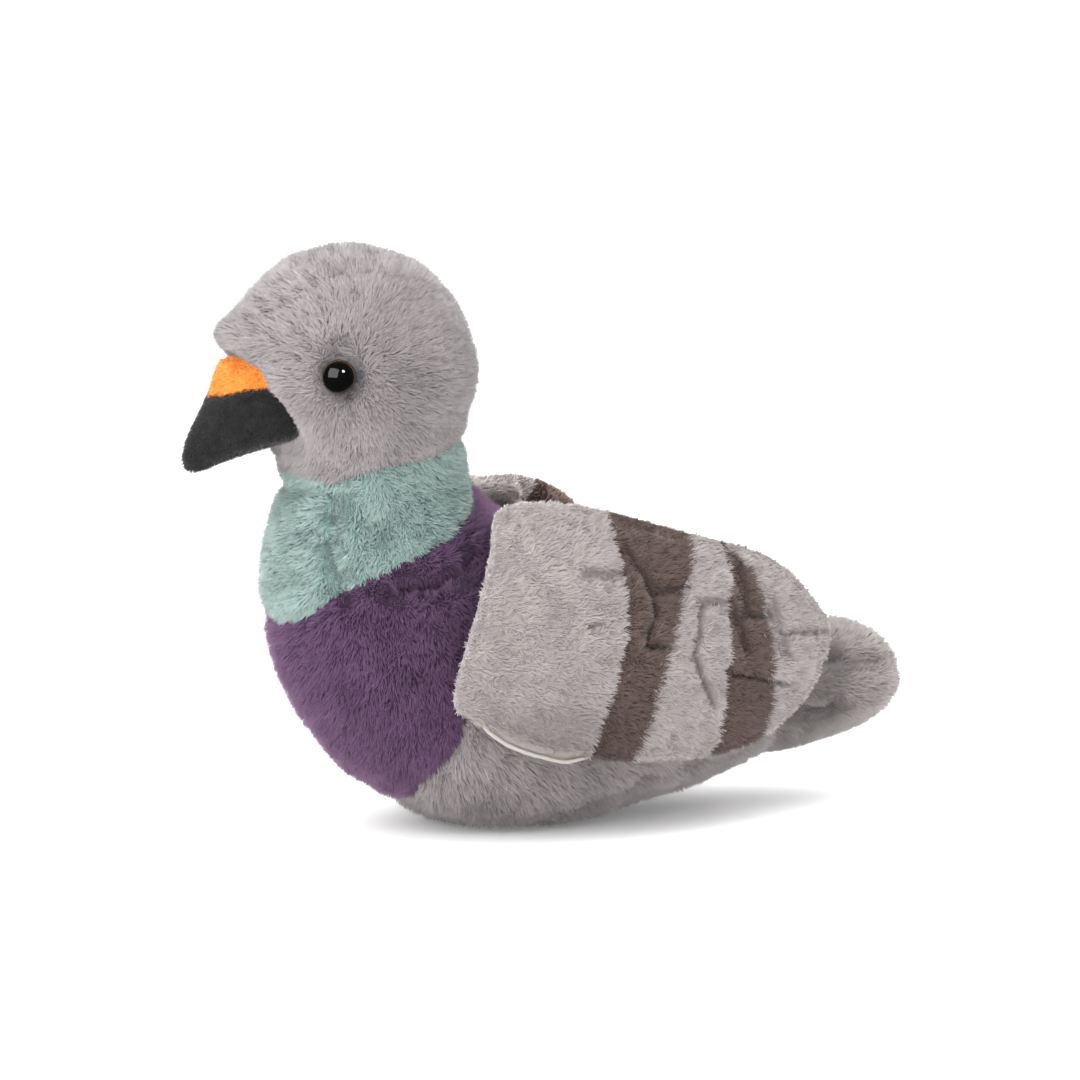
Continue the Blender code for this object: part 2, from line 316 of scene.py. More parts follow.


# root and tip of the pile, as linear colours; the darker roots are partly painted self-shade
pileColours = {
    "head": ((0.250, 0.225, 0.232), (0.393, 0.359, 0.360)),
    "neck": ((0.20, 0.315, 0.297), (0.385, 0.488, 0.458)),
    "breast": ((0.060, 0.031, 0.069), (0.156, 0.087, 0.167)),
    "trunk": ((0.245, 0.218, 0.220), (0.432, 0.388, 0.386)),
    # the tail's pile is the trunk's grey made lighter, as painted light against the shade that the wing
    # casts on it
    "tail": ((0.295, 0.264, 0.260), (0.475, 0.432, 0.422)),
    "wing": ((0.315, 0.282, 0.276), (0.515, 0.468, 0.457)),
    "bar": ((0.068, 0.046, 0.040), (0.185, 0.130, 0.113)),
    "cere": ((0.55, 0.13, 0.015), (0.94, 0.35, 0.065)),
    "bill": ((0.0025, 0.0022, 0.0026), (0.030, 0.029, 0.031)),
}
backing = backingMaterial("plush_backing")
piles = {
    name: pileMaterial("pile_" + name, pileColours[name])
    for name in ("head", "neck", "breast", "trunk", "tail", "cere", "bill")
}
piles["breast"] = pileMaterial("pile_lilac", pileColours["breast"], sheen=0.5, sheenTint=(0.85, 0.55, 0.8))
piles["wing"] = pileMaterial("pile_wing", pileColours["wing"], pileColours["bar"])
print("materials mixed")


# the stuffing of the padded pieces, which are blown up as cloth
stuffingPlan = {
    "voxel": 0.005,
    "steps": 20,
    "cap": 0.0012,  # no point is pushed farther than this
    "neighbours": 6,
    # the cloth of a small toy is light and gives easily
    "cloth": {"use_pressure": True, "uniform_pressure_force": 4.0, "mass": 0.004,
              "tension_stiffness": 0.4, "compression_stiffness": 0.4, "shear_stiffness": 0.4,
              "bending_stiffness": 0.0001},
}


def stuffingMoves(piece, sewnAt):
    # How far stuffing pushes each point of a padded piece: a coarse copy is blown up as
    # cloth while its sewn points are held, and each point moves as the copy does round it.
    plan = stuffingPlan
    pickOnly(piece)
    bpy.ops.object.duplicate()
    coarse = bpy.context.view_layer.objects.active
    remesh(coarse, plan["voxel"], 0)
    before = pointsOf(coarse)
    held = coarse.vertex_groups.new(name="sewn")
    for index in np.flatnonzero(sewnAt(before, normalsOf(coarse))):
        held.add([int(index)], 1.0, "REPLACE")
    pickOnly(coarse)
    cloth = coarse.modifiers.new("cloth", "CLOTH")
    cloth.settings.vertex_group_mass = "sewn"
    cloth.settings.effector_weights.gravity = 0.0
    for key, value in plan["cloth"].items():
        setattr(cloth.settings, key, value)
    cloth.point_cache.frame_end = plan["steps"]
    for step in range(1, plan["steps"] + 1):
        bpy.context.scene.frame_set(step)
    bpy.ops.object.modifier_apply(modifier=cloth.name)
    bpy.context.scene.frame_set(1)
    moves = pointsOf(coarse) - before
    far = np.linalg.norm(moves, axis=1, keepdims=True)
    moves *= plan["cap"] / (far + plan["cap"])
    print("stuffed", piece.name + ", which swelled by up to", round(1000 * abs(moves).max(), 1), "mm")
    bpy.data.objects.remove(coarse)
    tree = KDTree(len(before))
    for index, place in enumerate(before):
        tree.insert(place, index)
    tree.balance()
    shared = np.zeros_like(pointsOf(piece))
    for index, place in enumerate(pointsOf(piece)):
        around = tree.find_n(place, plan["neighbours"])
        weights = np.exp([-((away / plan["voxel"] * 1.4) ** 2) for _, _, away in around])
        shared[index] = weights @ moves[[near for _, near, _ in around]] / weights.sum()
    return shared


# the stuffed skin under the pile
skinPlan = {
    "parts": ("head", "neck", "breast", "trunk", "tail"),
    "bridge": 0.0006,  # the parts are grown by this to meet
    "voxel": 0.0018,
    "coatDepth": 0.0038,  # the pile stands this high over the skin
    "seamDepth": 0.0012,
    "seamReach": 0.0045,
    "socketDepth": 0.0014,
    "socketReach": 0.0085,
    "throatSpot": np.array((0.0, -0.097, 0.120)),  # the collar rises over the throat here
    "throatReach": 0.014,
    "throatRise": 0.0030,
    # a thread draws a small dimple in, at this offset from each eye
    "dimple": np.array((-0.0024, 0.0008, 0.0084)),
    "dimpleDepth": 0.0034,
    "dimpleReach": 0.0042,
    "lumps": 0.00035,
    "lumpSize": 0.013,
    "browSpot": np.array((0, -0.1105, 0.1670)),
    "browReach": 0.0062,
    "browPush": np.array((0, -0.0026, 0.0018)),
    # stuffing moves nothing that is nearer than this to what holds the cloth
    "heldNear": {"seam": 0.005, "ground": 0.005, "eye": 0.012, "piece": 0.010},
}
eyeCentres = {
    side: (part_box("eye_" + side)[0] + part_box("eye_" + side)[1]) / 2 for side in sides
}


def makeSkin():
    plan = skinPlan
    piece = copyNodes(plan["parts"], "skin")
    swell(piece, plan["bridge"])
    remesh(piece, plan["voxel"], 5)
    swell(piece, -plan["coatDepth"] - plan["bridge"])
    remesh(piece, plan["voxel"], 4)
    return keepBiggest(piece)


def keepBiggest(piece):
    editWhole(piece, bpy.ops.mesh.separate, type="LOOSE")
    shells = sorted(bpy.context.selected_objects, key=lambda shell: -len(shell.data.vertices))
    name = piece.name
    for shell in shells[1:]:
        bpy.data.objects.remove(shell)
    shells[0].name = name
    return shells[0]


skin = makeSkin()
print("skin has", len(skin.data.polygons), "faces")


# which coat each part of the body wears, and how far a point is from each coat's own parts
coatParts = {"head": ("head",), "neck": ("neck",), "breast": ("breast",), "trunk": ("trunk", "tail")}
coatNames = list(coatParts)

# folds and sewn lines, as paths near the left side of the body; the right side mirrors them
folds = {
    "crown": {
        "path": ((0.011, -0.106, 0.170), (0.018, -0.0927, 0.1825), (0.0206, -0.0819, 0.1875),
                 (0.0235, -0.0748, 0.1887), (0.026, -0.0605, 0.1871), (0.024, -0.0489, 0.1845),
                 (0.018, -0.036, 0.172), (0.012, -0.030, 0.156)),
        "depth": 0.0005, "reach": 0.0026,
    },
    "collar": {
        "path": ((0.0232, -0.0833, 0.1153), (0.0243, -0.0863, 0.1016), (0.0283, -0.0851, 0.0925),
                 (0.0306, -0.0844, 0.0846)),
        "depth": 0.0030, "reach": 0.0036,
    },
    "breast": {
        "path": ((0.0399, -0.0711, 0.0857), (0.0454, -0.0559, 0.0872), (0.0461, -0.0492, 0.0902),
                 (0.0448, -0.0433, 0.0955), (0.0437, -0.0389, 0.0984)),
        "depth": 0.0044, "reach": 0.0040,
    },
    "tailTop": {
        "path": ((0.0226, 0.094, 0.0529), (0.023, 0.1097, 0.0523), (0.021, 0.117, 0.051)),
        "depth": 0.0030, "reach": 0.0042,
    },
    "tailSide": {
        "path": ((0.0256, 0.0885, 0.033), (0.0256, 0.0990, 0.0325)),
        "depth": 0.0028, "reach": 0.0045,
    },
    "belly": {
        "path": ((0.0316, -0.0068, 0.0046), (0.040, 0.0224, 0.0165), (0.040, 0.045, 0.018),
                 (0.031, 0.0684, 0.0205), (0.026, 0.09, 0.022)),
        "depth": 0.0012, "reach": 0.0035,
    },
}


def coatDistances(points):
    columns = []
    for parts in coatParts.values():
        columns.append(np.min([distanceTo(nodeTrees[part], points) for part in parts], axis=0))
    away = np.stack(columns, axis=1)
    throat = nearness(points, skinPlan["throatSpot"], skinPlan["throatReach"])
    away[:, coatNames.index("neck")] -= skinPlan["throatRise"] * throat
    return away


def layFolds(tree):
    # each fold's path, laid on a skin in short steps
    laid = {}
    for name, fold in folds.items():
        path = np.array(fold["path"])
        share = np.linspace(0, len(path) - 1, 8 * len(path))
        steps = np.stack([np.interp(share, np.arange(len(path)), column) for column in path.T], axis=1)
        laid[name] = np.array([tree.find_nearest(Vector(step))[0] for step in steps])
    return laid


def foldPull(points, laid):
    # how deep each point lies in a fold, in metres
    halved = np.stack([np.abs(points[:, 0]), points[:, 1], points[:, 2]], axis=1)
    pull = np.zeros(len(points))
    for name, fold in folds.items():
        away = distanceToPath(halved, laid[name])
        pull = np.maximum(pull, fold["depth"] * (1 - ramp(away, 0, fold["reach"])))
    return pull


def sewnOnSkin(points, normals):
    # the coarse skin's points that sewing, the wings, the beak or the ground hold
    near = skinPlan["heldNear"]
    held = np.sort(coatDistances(points), axis=1)[:, 1] < near["seam"]
    held |= points[:, 2] < near["ground"]
    for centre in eyeCentres.values():
        held |= np.linalg.norm(points - np.array(centre), axis=1) < near["eye"]
    for name in ("lining_left", "lining_right", "cere", "bill"):
        held |= distanceTo(nodeTrees[name], points) < near["piece"]
    return held


def shapeSkin(piece):
    plan = skinPlan
    putPoints(piece, pointsOf(piece) + stuffingMoves(piece, sewnOnSkin))
    points, normals = pointsOf(piece), normalsOf(piece)
    away = np.sort(coatDistances(points), axis=1)[:, 1]
    pull = plan["seamDepth"] * (1 - ramp(away, 0, plan["seamReach"]))
    pull += foldPull(points, layFolds(treeOf(piece)))
    for side, sign in sides.items():
        centre = np.array(eyeCentres[side])
        pull += plan["socketDepth"] * nearness(points, centre, plan["socketReach"])
        # the thread that holds the eye draws in a small dimple above it
        leftward = (points - centre) * (sign, 1, 1)
        pull += plan["dimpleDepth"] * nearness(leftward, plan["dimple"], plan["dimpleReach"])
    lumps = softNoise(points, plan["lumpSize"], 5) * plan["lumps"]
    brow = nearness(points, plan["browSpot"], plan["browReach"])
    putPoints(piece, points + normals * (lumps - pull)[:, None] + brow[:, None] * plan["browPush"])
    useModifier(piece, "SMOOTH", factor=0.4, iterations=1)


shapeSkin(skin)
skinDistances = coatDistances(pointsOf(skin))
skinCoat = skinDistances.argmin(axis=1)
print("skin shaped")


# the padded wings
wingPlan = {
    "voxel": 0.0011,
    "shellCentre": (-0.04, 0.045),  # the wings follow an egg shape round this y and z
    "shellRadii": (0.0605, 0.165, 0.09),
    "middle": (0.015, 0.068),
    "inset": 0.0022,
    # how much higher the right wing's top lies than the left one's, along y
    "settleAt": (-0.006, 0.007, 0.017, 0.026, 0.034, 0.050),
    "settle": (0.0, 0.0034, 0.0038, 0.0018, -0.0026, -0.0032),
    "coatDepth": 0.0030,
    "rimPoints": 120,
    "heldRim": 0.006,  # stuffing does not move the pads this near their rims and sewn lines
    "dipDepth": 0.0014,  # a sewn line is a wide soft dip
    "dipReach": 0.0044,
    "slitDepth": 0.0018,  # with a narrow slit in it
    "slitReach": 0.0018,
    "corner": (-0.028, 0.108),  # the top front corner, as y and z, is pulled out
    "cornerReach": 0.013,
    "cornerPull": (-0.0036, 0.0016),
    "rollOut": 0.0026,  # the plush rolls over the top rim, this deep under it
    "rollAt": 0.0050,
    "rollReach": 0.0036,
    "barStep": 0.0014,  # the brown bars lie this much lower along their front edges,
    "barReach": 0.0050,  # over this reach
    "barSoft": 0.0006,
    "barTop": 0.0008,
    "puff": 0.0006,
    "puffSize": 0.011,
    "hemShow": 0.0013,
    "outerFacing": (-0.2, 0.5),  # the x of the normals over which a pad's outer side begins
    "roomShare": 0.7,  # the share of a pad's thickness that it may be lowered by
    "rollHeights": (0.086, 0.098),  # the roll fades in over these heights
    "rollEnds": (0.026, 0.038),  # and out along these y
    "hemStart": (-0.060, -0.046),  # the hem shows from this y
    "hemEnd": (0.004, 0.018),  # up to this -y
    "hemTop": (-0.050, -0.036),  # and under this -z
    "settleFrom": (0.06, 0.10),  # the right wing's top is settled over these heights
}

# the two brown bars, by the y of their front and rear edges at a few heights
barPlan = {
    "sweep": 0.010,  # how far the right wing's bars sweep back, over these heights
    "sweepOver": (0.085, 0.108),
    "ragged": 0.0003,
    "softRear": 2.0,  # the rear edges are this much more ragged
    "heights": (0.026, 0.032, 0.040, 0.050, 0.060, 0.070, 0.078, 0.086, 0.094, 0.102, 0.110),
    "firstFront": (-0.0100, -0.0085, -0.0068, -0.0030, 0.0005, 0.0035, 0.0053, 0.0063, 0.0056,
                   0.0048, 0.0056),
    "firstRear": (0.0066, 0.0084, 0.0116, 0.0145, 0.0184, 0.0225, 0.0265, 0.0310, 0.0338,
                  0.0358, 0.0370),
    "secondFront": (0.0368, 0.0405, 0.0418, 0.0424, 0.0444, 0.0450, 0.0462, 0.0490, 0.0474,
                    0.0462, 0.0455),
    "secondRear": (0.0570, 0.0588, 0.0616, 0.0620, 0.0620, 0.0603, 0.0592, 0.0570, 0.0490,
                   0.0470, 0.0460),
}

# sewn feather lines on a wing, as y and z
grooves = (
    ((0.0085, 0.098), (0.0105, 0.094), (0.0150, 0.087), (0.0162, 0.0749), (0.0126, 0.0704),
     (0.0110, 0.0654)),
    ((0.0115, 0.0650), (0.0215, 0.0643)),
    ((0.0172, 0.0834), (0.0295, 0.0825)),
    ((0.0356, 0.0784), (0.0333, 0.0706), (0.0301, 0.0609), (0.0332, 0.0524), (0.0368, 0.0438)),
    ((0.0344, 0.0785), (0.0462, 0.0775)),
    ((0.0510, 0.0900), (0.0523, 0.0885), (0.0530, 0.0800), (0.0528, 0.0717), (0.0635, 0.0706)),
    ((0.0477, 0.0741), (0.0500, 0.0680), (0.0516, 0.0598)),
    ((0.0446, 0.0533), (0.0530, 0.0512), (0.0619, 0.0484), (0.0690, 0.0476)),
    ((0.0645, 0.0756), (0.0660, 0.0660), (0.0688, 0.0569)),
    ((0.0700, 0.0645), (0.0900, 0.0620)),
    ((-0.0091, 0.0912), (0.0062, 0.0889)),
    ((-0.0092, 0.0737), (-0.0055, 0.0735)),
)


def shellAcross(y, z):
    # how far the egg shape stands from the middle plane at y and z
    (midY, midZ), (wide, long, tall) = wingPlan["shellCentre"], wingPlan["shellRadii"]
    return wide * np.sqrt(np.maximum(1 - ((y - midY) / long) ** 2 - ((z - midZ) / tall) ** 2, 0.02))


def rimOf(side, sign):
    # the lining's outline, read from its solid by angle round the wing's middle
    points = np.array([vertex.co for vertex in frame["nodes"]["lining_" + side].data.vertices])
    middle = np.array(wingPlan["middle"])
    flat = points[:, 1:] - middle
    angle = np.arctan2(flat[:, 1], flat[:, 0])
    reach = np.linalg.norm(flat, axis=1)
    bins = np.linspace(-math.pi, math.pi, 49)
    farthest = [
        index[np.argmax(reach[index])]
        for low, high in zip(bins[:-1], bins[1:])
        if len(index := np.flatnonzero((angle >= low) & (angle < high)))
    ]
    around, radius = angle[farthest], reach[farthest]
    wanted = np.linspace(-math.pi, math.pi, wingPlan["rimPoints"], endpoint=False)
    radius = np.interp(wanted, around, radius, period=2 * math.pi)
    y = middle[0] + radius * np.cos(wanted)
    z = middle[1] + radius * np.sin(wanted)
    return np.stack([sign * shellAcross(y, z), y, z], axis=1)


liningRims = {side: rimOf(side, sign) for side, sign in sides.items()}


def rimDepth(points, side):
    # how far inside the wing's outline a point lies, as seen from the side
    middle = np.array(wingPlan["middle"])
    rim = liningRims[side][:, 1:] - middle
    flat = points[:, 1:] - middle
    reach = np.interp(np.arctan2(flat[:, 1], flat[:, 0]), np.arctan2(rim[:, 1], rim[:, 0]),
                      np.linalg.norm(rim, axis=1), period=2 * math.pi)
    return reach - np.linalg.norm(flat, axis=1)


def grooveAway(points):
    nearest = np.full(len(points), 1.0)
    for path in grooves:
        nearest = np.minimum(nearest, distanceToPath(points[:, 1:], path))
    return nearest


def topFront(points):
    # 1 along the upper front of a wing, where its plush rolls over the rim
    heights, ends = wingPlan["rollHeights"], wingPlan["rollEnds"]
    return ramp(points[:, 2], *heights) * (1 - ramp(points[:, 1], *ends))


def lowerFront(y, z):
    # 1 along the lower front rim of a wing, fading out towards the tail and the top
    plan = wingPlan
    return ramp(y, *plan["hemStart"]) * ramp(-y, *plan["hemEnd"]) * ramp(-z, *plan["hemTop"])


def drawIn(points, side, inset, raised=0.0, held=False):
    # draws a wing's outline towards its middle while it keeps to the egg shape; the lower
    # front rim is raised, or held where it is
    middle = np.array(wingPlan["middle"])
    flat = points[:, 1:] - middle
    half = np.abs(flat).max(axis=0)
    away = points[:, 0] * side - shellAcross(points[:, 1], points[:, 2])
    front = lowerFront(points[:, 1], points[:, 2])
    flat = flat * (1 - inset * (1 - front * held)[:, None] / half)
    flat[:, 1] += raised * front
    y, z = (flat + middle).T
    settled = (side < 0) * ramp(z, *wingPlan["settleFrom"])
    z += np.interp(y, wingPlan["settleAt"], wingPlan["settle"]) * settled
    corner = np.array(wingPlan["corner"])
    pulled = np.exp(-((y - corner[0]) ** 2 + (z - corner[1]) ** 2) / wingPlan["cornerReach"] ** 2)
    y, z = y + pulled * wingPlan["cornerPull"][0], z + pulled * wingPlan["cornerPull"][1]
    return np.stack([side * (shellAcross(y, z) + away), y, z], axis=1)


def barSteps(points):
    # 1 just behind the front edge of a bar, fading out towards the rear
    steps = np.zeros(len(points))
    soft, top, reach = (wingPlan[key] for key in ("barSoft", "barTop", "barReach"))
    for name in ("firstFront", "secondFront"):
        behind = points[:, 1] - np.interp(points[:, 2], barPlan["heights"], barPlan[name])
        steps += ramp(behind, -soft, soft) * (1 - ramp(behind, top, reach))
    return steps


def makeWingPad(side, sign):
    plan = wingPlan
    piece = copyNodes(["wing_" + side], "wing_pad_" + side)
    remesh(piece, plan["voxel"], 3)

    def sewnOnWing(points, normals):
        held = grooveAway(points) < plan["heldRim"] / 2
        return held | (normals[:, 0] * sign < 0.3) | (rimDepth(points, side) < plan["heldRim"])

    points, normals = pointsOf(piece), normalsOf(piece)
    moves = stuffingMoves(piece, sewnOnWing)
    room = distanceTo(nodeTrees["lining_" + side], points)
    outer = ramp(normals[:, 0] * sign, *plan["outerFacing"])
    groove = grooveAway(points)
    sewn = plan["dipDepth"] * (1 - ramp(groove, 0, plan["dipReach"]))
    sewn += plan["slitDepth"] * (1 - ramp(groove, 0, plan["slitReach"]))
    sewn += plan["barStep"] * barSteps(points)
    lumps = plan["puff"] * softNoise(points, plan["puffSize"], 21)
    lowered = np.minimum(plan["coatDepth"] + sewn - lumps, plan["roomShare"] * room) * outer
    roll = np.exp(-(((rimDepth(points, side) - plan["rollAt"]) / plan["rollReach"]) ** 2))
    roll *= plan["rollOut"] * topFront(points) * (1 - outer)
    points = points + moves - normals * lowered[:, None]
    points[:, 0] -= sign * roll
    putPoints(piece, drawIn(points, sign, plan["inset"], raised=plan["hemShow"]))
    useModifier(piece, "SMOOTH", factor=0.4, iterations=2)
    return piece


wingPads = {side: makeWingPad(side, sign) for side, sign in sides.items()}
print("wings padded")


# the satin linings under the wings
liningPlan = {
    "topDrop": 0.0100,  # the lining stops this much lower where the plush rolls over the top
    "hemThick": 0.0007,
    "rollOut": 0.0001,  # the hem rolls out past the lining under the lower front rim,
    "tuckIn": 0.0055,  # and is tucked in everywhere else
    "inset": 0.0034,
    "wrinkle": 0.00035,
    "wrinkleSize": 0.009,
    "wrinkleFrom": 0.0012,  # nothing nearer than this to the trunk is wrinkled
    "dropOver": (0.080, 0.104),
    "hemOut": 0.0004,
}


def hemPath(side, sign):
    plan = liningPlan
    rim = liningRims[side]
    middle = np.array(wingPlan["middle"])
    shown = lowerFront(rim[:, 1], rim[:, 2])
    outward = unit(rim[:, 1:] - middle)
    shift = plan["rollOut"] * shown - plan["tuckIn"] * (1 - shown)
    y, z = (rim[:, 1:] + outward * shift[:, None]).T
    return np.stack([sign * (shellAcross(y, z) + plan["hemOut"] * shown), y, z], axis=1)


def makeTube(name, path, thick, cyclic):
    curve = bpy.data.curves.new(name, "CURVE")
    curve.dimensions = "3D"
    curve.bevel_depth = thick
    curve.bevel_resolution = 2
    curve.use_fill_caps = not cyclic
    spline = curve.splines.new("POLY")
    spline.points.add(len(path) - 1)
    spline.points.foreach_set("co", np.hstack([path, np.ones((len(path), 1))]).ravel())
    spline.use_cyclic_u = cyclic
    tube = bpy.data.objects.new(name, curve)
    bpy.context.scene.collection.objects.link(tube)
    pickOnly(tube)
    bpy.ops.object.convert(target="MESH")
    return bpy.context.view_layer.objects.active


satin = mottled("cream_satin", {"Sheen Weight": 0.15, "Specular IOR Level": 0.4},
                (2600.0, 0.42, 0.6, 0.25), (0.35, 0.316, 0.290), (0.42, 0.382, 0.352))


def makeLining(side, sign):
    plan = liningPlan
    piece = copyNodes(["lining_" + side], "wing_lining_" + side)
    useModifier(piece, "SUBSURF", subdivision_type="SIMPLE", levels=2, render_levels=2)
    points = pointsOf(piece)
    ripple = plan["wrinkle"] * softNoise(points * (1, 1, 0.5), plan["wrinkleSize"], 31)
    free = distanceTo(nodeTrees["trunk"], points) > plan["wrinkleFrom"]
    points[:, 0] += ripple * sign * free
    points = drawIn(points, sign, plan["inset"], held=True)
    points[:, 2] -= plan["topDrop"] * ramp(points[:, 2], *plan["dropOver"]) * topFront(points)
    putPoints(piece, points)
    hem = makeTube("hem", hemPath(side, sign), plan["hemThick"], True)
    pickOnly(piece, hem)
    bpy.ops.object.join()
    dress(piece, satin)
    return piece


linings = {side: makeLining(side, sign) for side, sign in sides.items()}
print("linings sewn")


# the velour beak
beakPlan = {
    "voxel": 0.0008,
    "tuck": 0.0065,  # how far the beak runs on into the head
    "tuckReach": 0.0016,
    "napDepth": 0.0003,
    "pinch": 0.97,
    "edge": (-0.124, 0.150),  # where the cere's lower edge droops over the bill, as y and z
    "edgeDrop": 0.0022,
    "edgeReach": 0.010,
    # the bill's lower edge, as two points in y and z, is lifted this much between them
    "under": ((-0.129, 0.1234), (-0.098, 0.1318)),
    "underLift": 0.0022,
    "underReach": (-0.002, 0.006),  # fading out over these heights over that edge
    "underFrom": (-0.130, -0.106),  # and in along these y
    "lumps": 0.0002,
    "lumpSize": 0.006,
}


def makeBeakPart(name):
    # the rear rim runs on into the head, so that the pile closes round it
    plan = beakPlan
    piece = copyNodes([name], name + "_velour")
    points = pointsOf(piece)
    rear = distanceTo(nodeTrees["head"], points) < plan["tuckReach"]
    points[rear] += (0, plan["tuck"], 0)
    points[rear, 0] *= plan["pinch"]
    points[:, 2] -= plan["edgeDrop"] * nearness(points[:, 1:], plan["edge"], plan["edgeReach"])
    under = points[:, 2] - np.interp(points[:, 1], *np.array(plan["under"]).T)
    lift = (1 - ramp(under, *plan["underReach"])) * ramp(points[:, 1], *plan["underFrom"])
    points[:, 2] += plan["underLift"] * lift
    putPoints(piece, points)
    remesh(piece, plan["voxel"], 3)
    swell(piece, -plan["napDepth"])
    points, normals = pointsOf(piece), normalsOf(piece)
    lumps = plan["lumps"] * softNoise(points, plan["lumpSize"], 41)
    putPoints(piece, points + normals * lumps[:, None])
    return piece


beak = {name: makeBeakPart(name) for name in ("cere", "bill")}
print("beak shaped")


# the eyes, which are domed plastic buttons
eyePlan = {
    "segments": 48,
    "rings": 32,
    "dome": 0.80,  # depth of the dome as a share of its radius
    "pupil": 0.82,  # share of the radius that is black
    "rim": 0.93,
    "back": 0.35,  # depth of the back, like the dome's
    "forward": 28,  # how far the eyes look forward, in degrees
}


def eyeMaterial():
    gloss = {"Roughness": 0.05, "Specular IOR Level": 0.5}
    material, nodes, shader = newMaterial("eye_plastic", gloss)
    across = attributeNode(nodes, "across")
    ramps = nodes.new("ShaderNodeValToRGB")
    stops = (
        (0.0, (0.0015, 0.0014, 0.0015)),
        (eyePlan["pupil"] - 0.03, (0.0015, 0.0014, 0.0015)),
        (eyePlan["pupil"] + 0.06, (0.007, 0.0035, 0.002)),
        (eyePlan["rim"], (0.024, 0.011, 0.005)),
        (1.0, (0.006, 0.004, 0.003)),
    )
    for place, colour in stops[1:-1]:
        ramps.color_ramp.elements.new(place)
    for element, (place, colour) in zip(ramps.color_ramp.elements, stops):
        element.position = place
        element.color = (*colour, 1.0)
    wire(across, "Fac", ramps, "Fac")
    wire(ramps, "Color", shader, "Base Color")
    return material


eyePlastic = eyeMaterial()


def makeEye(side, sign):
    plan = eyePlan
    low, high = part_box("eye_" + side)
    centre = (low + high) / 2
    radius = (high.z - low.z) / 2
    forward = math.radians(plan["forward"])
    look = Vector((sign * math.cos(forward), -math.sin(forward), 0.0))
    bpy.ops.object.select_all(action="DESELECT")
    bpy.ops.mesh.primitive_uv_sphere_add(
        segments=plan["segments"], ring_count=plan["rings"], radius=radius, location=(0, 0, 0))
    piece = bpy.context.object
    piece.name = piece.data.name = "eye_dome_" + side
    points = pointsOf(piece)
    across = np.linalg.norm(points[:, :2], axis=1) / radius
    # a domed front, and a flat back with a rounded rim
    points[:, 2] *= np.where(points[:, 2] > 0, plan["dome"], plan["back"])
    across = np.where(points[:, 2] > 0, across, 1.0)
    turn = look.to_track_quat("Z", "Y").to_matrix()
    putPoints(piece, points @ np.array(turn).T + np.array(centre))
    giveNumbers(piece, "across", across)
    dress(piece, eyePlastic)
    return piece


eyes = {side: makeEye(side, sign) for side, sign in sides.items()}
print("eyes set")


bakePatch = 0.003  # how wide a tuft's patch is on the OFBake map
pressed = 0.0002  # the pile under the belly is pressed flat at this height
rooted = 0.0005  # how far below the surface a tuft starts
flowLimits = (0.4, 1.3)  # how strongly a tuft can be laid over by the flow,
tiltLimits = (0.02, 1.45)  # how far it can lie over, in radians,
widthLimits = (0.7, 1.3)  # and how far its width and its tint can stray
tintLimits = (0.45, 2.2)


def unwrapOf(piece, chosen):
    # an unwrap of the chosen faces of a skin, read as one place for each face corner
    mesh = piece.data
    layer = mesh.uv_layers.new(name="unwrap")
    mesh.uv_layers.active = layer
    bpy.context.tool_settings.mesh_select_mode = (False, False, True)
    pickOnly(piece)
    bpy.ops.object.mode_set(mode="EDIT")
    bpy.ops.mesh.select_all(action="DESELECT")
    bpy.ops.object.mode_set(mode="OBJECT")
    mesh.polygons.foreach_set("select", chosen)
    bpy.ops.object.mode_set(mode="EDIT")
    bpy.ops.uv.smart_project(angle_limit=math.radians(66), island_margin=0.006)
    bpy.ops.object.mode_set(mode="OBJECT")
    places = np.empty(len(mesh.loops) * 2, np.float32)
    mesh.uv_layers["unwrap"].data.foreach_get("uv", places)
    mesh.uv_layers.remove(mesh.uv_layers["unwrap"])
    return places.reshape(-1, 2).astype(float)


def sowRoots(piece, chosen, density, seed):
    places = unwrapOf(piece, chosen)
    mesh = piece.data
    mesh.calc_loop_triangles()
    count = len(mesh.loop_triangles)
    corners, loops = np.empty(count * 3, np.int32), np.empty(count * 3, np.int32)
    faces = np.empty(count, np.int32)
    mesh.loop_triangles.foreach_get("vertices", corners)
    mesh.loop_triangles.foreach_get("loops", loops)
    mesh.loop_triangles.foreach_get("polygon_index", faces)
    kept = np.array(chosen, bool)[faces]
    corners, loops = corners.reshape(-1, 3)[kept], loops.reshape(-1, 3)[kept]
    points, normals = pointsOf(piece), normalsOf(piece)
    first, second, third = (points[corners[:, i]] for i in range(3))
    area = np.linalg.norm(np.cross(second - first, third - first), axis=1) / 2
    rng = np.random.default_rng(seed)
    each = np.floor(area * density * 1e6 + rng.random(len(area))).astype(int)
    owner = np.repeat(np.arange(len(area)), each)
    one, two = rng.random((2, len(owner)))
    one = np.sqrt(one)
    weights = np.stack([1 - one, one * (1 - two), one * two], axis=1)
    sown = {"corners": corners[owner], "weights": weights}
    sown["root"] = carry(sown, points)
    sown["normal"] = unit(carry(sown, normals))
    sown["place"] = (places[loops[owner]] * weights[:, :, None]).sum(axis=1)
    return sown


def carry(sown, values):
    # a value of the skin's points, blended to each root
    corners = values[sown["corners"]]
    weights = sown["weights"]
    return (corners * (weights[:, :, None] if values.ndim > 1 else weights)).sum(axis=1)


def keepRoots(sown, kept):
    return {key: values[kept] for key, values in sown.items()}


def gatherTips(tips, roots, spacing, pull, seed):
    # the tips of neighbours lean together into wisps
    rng = np.random.default_rng(seed)
    area = len(roots)
    leaders = np.flatnonzero(rng.random(area) < spacing)
    tree = KDTree(len(leaders))
    for order, index in enumerate(leaders):
        tree.insert(roots[index], order)
    tree.balance()
    leader = leaders[[tree.find(root)[1] for root in roots]]
    return tips + (tips[leader] - tips) * (pull * rng.uniform(0.4, 1.2, area))[:, None]


